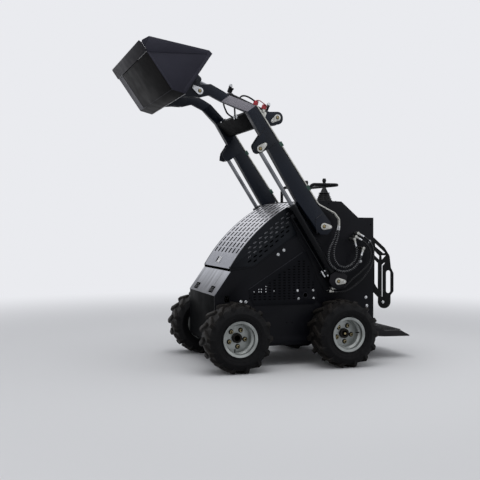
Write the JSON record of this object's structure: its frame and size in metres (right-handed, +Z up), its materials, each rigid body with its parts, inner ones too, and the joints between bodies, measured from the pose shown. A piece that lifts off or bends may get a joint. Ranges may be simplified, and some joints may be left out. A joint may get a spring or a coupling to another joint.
{
  "type": "stand-on mini loader",
  "caption": "Compact wheeled loader with a rear standing platform: two lift arms carry a bucket over a low slotted hood, with a handlebar and levers behind.",
  "frame": {"origin": "on the ground under the middle of the machine's bounding box", "axes": "+X forward towards the bucket, +Y to the machine's left, +Z up"},
  "size_m": [2.0779, 1.1354, 2.1704],
  "materials": {
    "black_paint": "satin blue-black powder coat",
    "bright_steel": "brushed, slightly blue",
    "cast_iron": "rough cast",
    "wheel_silver": "silver paint",
    "hub_black": "black paint",
    "tyre_rubber": "moulded rubber",
    "zinc": "zinc plated",
    "chrome_rod": "polished",
    "edge_steel": "dark rolled steel",
    "lamp_housing": "moulded",
    "lever_rubber": "soft rubber and moulded knobs",
    "green_plastic": "moulded",
    "hose_rubber": "hydraulic hose cover"
  },
  "bodies": {
    "chassis": {"main_frame": "black_paint", "front_plate": "bright_steel", "lamps": "lamp_housing", "side_doors": "black_paint", "tower_plates": "black_paint", "frame_pins": "zinc", "console_top": "black_paint", "bulkhead": "black_paint", "engine": "cast_iron", "wheel_motors": "cast_iron", "rear_guards": "black_paint", "platform_bracket": "black_paint", "control_levers": "lever_rubber", "handlebar": "black_paint", "hood_hinges": "black_paint", "side_plates": "black_paint", "valve_fittings": "zinc", "hose_loop_inner_left": "hose_rubber", "hose_loop_inner_right": "hose_rubber", "hose_loop_outer_left": "hose_rubber", "hose_loop_outer_right": "hose_rubber", "hose_base_inner_left": "hose_rubber", "hose_base_inner_right": "hose_rubber", "hose_base_outer_left": "hose_rubber", "hose_base_outer_right": "hose_rubber"},
    "boom": {"arm_left": "black_paint", "arm_right": "black_paint", "cross_member": "black_paint", "gooseneck_left": "black_paint", "gooseneck_right": "black_paint", "tilt_ears": "black_paint", "boom_pins": "zinc", "arm_lines": "zinc", "line_clamps": "green_plastic", "tool_couplers": "zinc"},
    "bucket": {"bucket_shell": "black_paint", "cutting_edge": "edge_steel", "bucket_ears": "black_paint"},
    "lift_barrel_left": {"lift_barrel_left": "black_paint"},
    "lift_barrel_right": {"lift_barrel_right": "black_paint"},
    "lift_rod_left": {"lift_rod_left": "chrome_rod"},
    "lift_rod_right": {"lift_rod_right": "chrome_rod"},
    "tilt_barrel": {"tilt_barrel": "black_paint"},
    "tilt_rod": {"tilt_rod": "chrome_rod"},
    "hood": {"hood_shell": "black_paint", "hood_grille": "bright_steel"},
    "platform": {"platform": "black_paint"},
    "wheel_front_left": {"tyre_front_left": "tyre_rubber", "rim_front_left": "wheel_silver", "hub_front_left": "hub_black"},
    "wheel_front_right": {"tyre_front_right": "tyre_rubber", "rim_front_right": "wheel_silver", "hub_front_right": "hub_black"},
    "wheel_rear_left": {"tyre_rear_left": "tyre_rubber", "rim_rear_left": "wheel_silver", "hub_rear_left": "hub_black"},
    "wheel_rear_right": {"tyre_rear_right": "tyre_rubber", "rim_rear_right": "wheel_silver", "hub_rear_right": "hub_black"}
  },
  "joints": [
    {"name": "lift", "type": "hinge", "parent": "chassis", "child": "boom", "pos_m": [-0.2907, 0, 0.964], "axis": [0, -1, 0], "range_deg": [-82, 0]},
    {"name": "tilt", "type": "hinge", "parent": "boom", "child": "bucket", "pos_m": [0.5693, 0, 1.883], "axis": [0, 1, 0], "range_deg": [-45, 85]},
    {"name": "lift_barrel_swing_left", "type": "hinge", "parent": "chassis", "child": "lift_barrel_left", "pos_m": [-0.4017, 0.366, 0.58], "axis": [0, -1, 0], "range_deg": [-59.2, 1]},
    {"name": "lift_rod_slide_left", "type": "slide", "parent": "lift_barrel_left", "child": "lift_rod_left", "axis": [0.5394, 0, 0.842], "range_m": [-0.3851, 0.002]},
    {"name": "lift_barrel_swing_right", "type": "hinge", "parent": "chassis", "child": "lift_barrel_right", "pos_m": [-0.4017, -0.366, 0.58], "axis": [0, -1, 0], "range_deg": [-59.2, 1]},
    {"name": "lift_rod_slide_right", "type": "slide", "parent": "lift_barrel_right", "child": "lift_rod_right", "axis": [0.5394, 0, 0.842], "range_m": [-0.3851, 0.002]},
    {"name": "tilt_barrel_swing", "type": "hinge", "parent": "boom", "child": "tilt_barrel", "pos_m": [-0.0777, 0, 1.756], "axis": [0, 1, 0], "range_deg": [-2.5, 4.6]},
    {"name": "tilt_rod_slide", "type": "slide", "parent": "tilt_barrel", "child": "tilt_rod", "axis": [0.9273, 0, 0.3743], "range_m": [-0.0822, 0.1533]},
    {"name": "hood_hinge", "type": "hinge", "parent": "chassis", "child": "hood", "pos_m": [-0.1157, 0, 1.112], "axis": [0, -1, 0], "range_deg": [0, 55]},
    {"name": "platform_fold", "type": "hinge", "parent": "chassis", "child": "platform", "pos_m": [-0.7377, 0, 0.238], "axis": [0, 1, 0], "range_deg": [0, 90]},
    {"name": "wheel_front_left", "type": "hinge", "parent": "chassis", "child": "wheel_front_left", "pos_m": [0.3683, 0.4497, 0.2285], "axis": [0, 1, 0], "continuous": true},
    {"name": "wheel_front_right", "type": "hinge", "parent": "chassis", "child": "wheel_front_right", "pos_m": [0.3683, -0.4497, 0.2285], "axis": [0, 1, 0], "continuous": true},
    {"name": "wheel_rear_left", "type": "hinge", "parent": "chassis", "child": "wheel_rear_left", "pos_m": [-0.4087, 0.4497, 0.2285], "axis": [0, 1, 0], "continuous": true},
    {"name": "wheel_rear_right", "type": "hinge", "parent": "chassis", "child": "wheel_rear_right", "pos_m": [-0.4087, -0.4497, 0.2285], "axis": [0, 1, 0], "continuous": true}
  ],
  "couplings": [
    {"joint": "lift_barrel_swing_left", "follows": "lift", "ratio": 0.70966},
    {"joint": "lift_rod_slide_left", "follows": "lift", "m_per_rad": 0.26768},
    {"joint": "lift_barrel_swing_right", "follows": "lift", "ratio": 0.70966},
    {"joint": "lift_rod_slide_right", "follows": "lift", "m_per_rad": 0.26768},
    {"joint": "tilt_barrel_swing", "follows": "tilt", "ratio": 0.0525},
    {"joint": "tilt_rod_slide", "follows": "tilt", "m_per_rad": 0.102}
  ]
}
